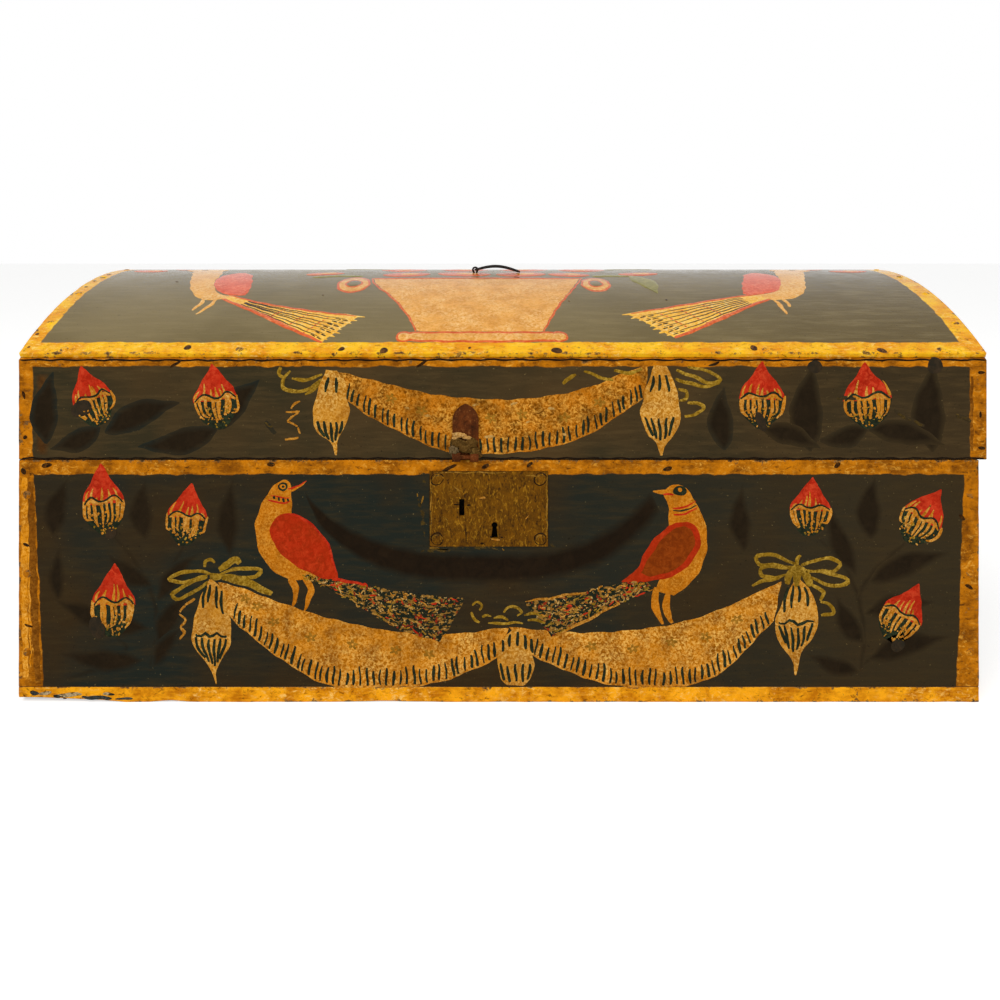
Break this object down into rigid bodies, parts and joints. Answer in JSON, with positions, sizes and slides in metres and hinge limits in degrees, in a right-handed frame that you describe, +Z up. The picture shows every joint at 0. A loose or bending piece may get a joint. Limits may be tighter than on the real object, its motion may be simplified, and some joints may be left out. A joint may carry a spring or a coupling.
{
  "type": "painted trunk",
  "caption": "Small coffer of nailed, painted boards with a low domed lid on wire hinges, an iron hasp lock let into the front and a swinging lift ring.",
  "frame": {"origin": "middle of the underside of the base", "axes": "+X along the front to the viewer's right, +Y from front to back, +Z up"},
  "size_m": [0.504, 0.2974, 0.2228],
  "materials": {
    "painted_beech": "worn oil paint",
    "unpainted_beech": "bare, aged",
    "painted_iron": "worn oil paint",
    "rusted_iron": "rusted",
    "lock_iron": "dull, filed",
    "nail_iron": "forged, rusted",
    "iron_wire": "drawn, dull"
  },
  "bodies": {
    "base": {"base_front_board": "painted_beech", "base_back_board": "unpainted_beech", "base_left_end": "painted_beech", "base_right_end": "painted_beech", "bottom_board": "unpainted_beech", "base_front_nails": "nail_iron", "base_back_nails": "nail_iron", "bottom_nails": "nail_iron", "lock_plate": "painted_iron", "lock_plate_nails": "nail_iron", "lock_cover": "lock_iron", "lock_cover_nails": "nail_iron", "bolt_guides": "lock_iron", "bolt_spring": "lock_iron", "left_hinge_base_eye": "iron_wire", "right_hinge_base_eye": "iron_wire"},
    "bolt": {"lock_bolt": "lock_iron"},
    "lid": {"lid_front_board": "painted_beech", "lid_back_board": "unpainted_beech", "lid_left_end": "painted_beech", "lid_right_end": "painted_beech", "lid_top_board": "painted_beech", "lid_front_nails": "nail_iron", "lid_back_nails": "nail_iron", "lid_top_nails": "nail_iron", "hasp_leaf": "rusted_iron", "hasp_nails": "nail_iron", "hasp_pin": "rusted_iron", "ring_staple": "iron_wire", "left_hinge_lid_eye": "iron_wire", "right_hinge_lid_eye": "iron_wire"},
    "ring": {"lift_ring": "iron_wire"}
  },
  "joints": [
    {"name": "lid_hinge", "type": "hinge", "parent": "base", "child": "lid", "pos_m": [0, 0.1465, 0.1262], "axis": [-1, 0, 0], "range_deg": [0, 110]},
    {"name": "ring_swing", "type": "hinge", "parent": "lid", "child": "ring", "pos_m": [-0.015, -0.024, 0.22002], "axis": [0, -1, 0], "range_deg": [0, 160]},
    {"name": "bolt_slide", "type": "slide", "parent": "base", "child": "bolt", "axis": [-1, 0, 0], "range_m": [0, 0.0085]}
  ]
}
